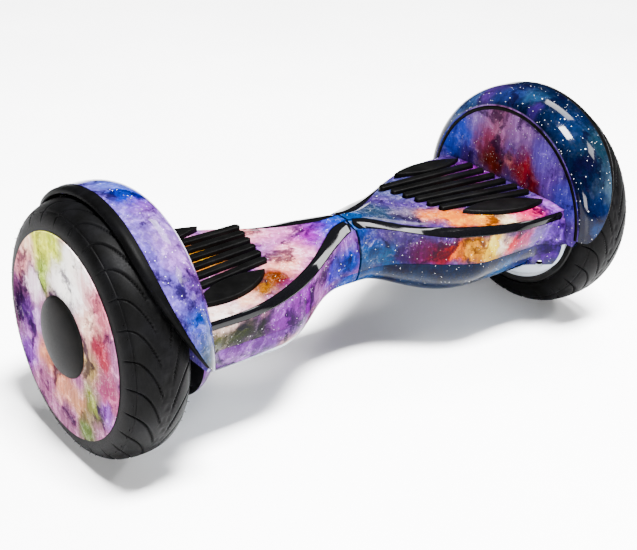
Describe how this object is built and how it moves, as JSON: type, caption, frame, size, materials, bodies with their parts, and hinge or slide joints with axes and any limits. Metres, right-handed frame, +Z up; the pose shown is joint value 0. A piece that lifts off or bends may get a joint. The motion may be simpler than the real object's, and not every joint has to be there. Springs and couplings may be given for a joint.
{
  "type": "self_balancing_board",
  "caption": "Self-balancing board with two hub-motor wheels, printed gloss shells, black curved trims and ribbed rubber foot pads.",
  "frame": {"origin": "on the ground, under the middle of the board", "axes": "+X along the board to its right wheel, -Y to the front, +Z up"},
  "size_m": [0.6798, 0.268, 0.264],
  "materials": {
    "printed_shell": "glossy moulded shell with an all-over nebula print",
    "black_gloss": "glossy black moulding",
    "pad_rubber": "satin black rubber",
    "tyre_rubber": "matte black tyre rubber with moulded tread",
    "cast_aluminium": "cast and machined, dull",
    "screw_steel": "zinc-plated steel",
    "motor_iron": "laminated motor steel",
    "magnet_steel": "nickel-plated magnets",
    "copper": "enamelled copper wire",
    "brass_fitting": "plain brass",
    "circuit_board": "green solder mask",
    "battery_wrap": "shrink-wrapped cell pack",
    "cable_sheath": "black cable sheath"
  },
  "bodies": {
    "left_half": {"left_frame": "cast_aluminium", "left_upper_shell": "printed_shell", "left_lower_shell": "printed_shell", "left_fender": "printed_shell", "left_fender_lip": "black_gloss", "left_trim_ring": "black_gloss", "left_front_trim": "black_gloss", "left_rear_trim": "black_gloss", "left_pad_board": "circuit_board", "left_screws": "screw_steel", "left_axle": "screw_steel", "left_axle_clamp": "cast_aluminium", "left_stator": "motor_iron", "left_windings": "copper", "waist_shaft": "screw_steel", "waist_stop_pin": "screw_steel", "waist_circlip": "screw_steel", "waist_seal": "pad_rubber", "waist_harness": "cable_sheath", "battery_pack": "battery_wrap", "battery_bracket": "cast_aluminium"},
    "right_half": {"right_frame": "cast_aluminium", "right_upper_shell": "printed_shell", "right_lower_shell": "printed_shell", "right_fender": "printed_shell", "right_fender_lip": "black_gloss", "right_trim_ring": "black_gloss", "right_front_trim": "black_gloss", "right_rear_trim": "black_gloss", "right_pad_board": "circuit_board", "right_screws": "screw_steel", "right_axle": "screw_steel", "right_axle_clamp": "cast_aluminium", "right_stator": "motor_iron", "right_windings": "copper", "waist_bushes": "brass_fitting", "main_board": "circuit_board", "charge_socket": "screw_steel", "power_switch": "black_gloss"},
    "left_wheel": {"left_rotor": "cast_aluminium", "left_magnets": "magnet_steel", "left_motor_cover": "cast_aluminium", "left_bearings": "screw_steel", "left_tyre": "tyre_rubber", "left_valve": "brass_fitting", "left_rim_cover": "printed_shell", "left_hub_cap": "black_gloss"},
    "right_wheel": {"right_rotor": "cast_aluminium", "right_magnets": "magnet_steel", "right_motor_cover": "cast_aluminium", "right_bearings": "screw_steel", "right_tyre": "tyre_rubber", "right_valve": "brass_fitting", "right_rim_cover": "printed_shell", "right_hub_cap": "black_gloss"},
    "left_pad": {"left_foot_pad": "pad_rubber"},
    "right_pad": {"right_foot_pad": "pad_rubber"},
    "power_button": {"power_button": "black_gloss"},
    "socket_cap": {"socket_cap": "pad_rubber"}
  },
  "joints": [
    {"name": "waist_twist", "type": "hinge", "parent": "left_half", "child": "right_half", "pos_m": [0, 0, 0.132], "axis": [1, 0, 0], "range_deg": [-18, 18]},
    {"name": "left_wheel_spin", "type": "hinge", "parent": "left_half", "child": "left_wheel", "pos_m": [-0.295, 0, 0.127], "axis": [1, 0, 0], "continuous": true},
    {"name": "right_wheel_spin", "type": "hinge", "parent": "right_half", "child": "right_wheel", "pos_m": [0.295, 0, 0.127], "axis": [1, 0, 0], "continuous": true},
    {"name": "left_pad_press", "type": "slide", "parent": "left_half", "child": "left_pad", "axis": [0, 0, -1], "range_m": [0, 0.0015], "stiffness_N_per_m": 8000},
    {"name": "right_pad_press", "type": "slide", "parent": "right_half", "child": "right_pad", "axis": [0, 0, -1], "range_m": [0, 0.0015], "stiffness_N_per_m": 8000},
    {"name": "power_press", "type": "slide", "parent": "right_half", "child": "power_button", "axis": [0, -1, 0], "range_m": [0, 0.001], "stiffness_N_per_m": 600},
    {"name": "socket_cap_swing", "type": "hinge", "parent": "right_half", "child": "socket_cap", "pos_m": [0.15, 0.0944, 0.12], "axis": [-1, 0, 0], "range_deg": [0, 120], "stiffness_Nm_per_rad": 0.002}
  ]
}
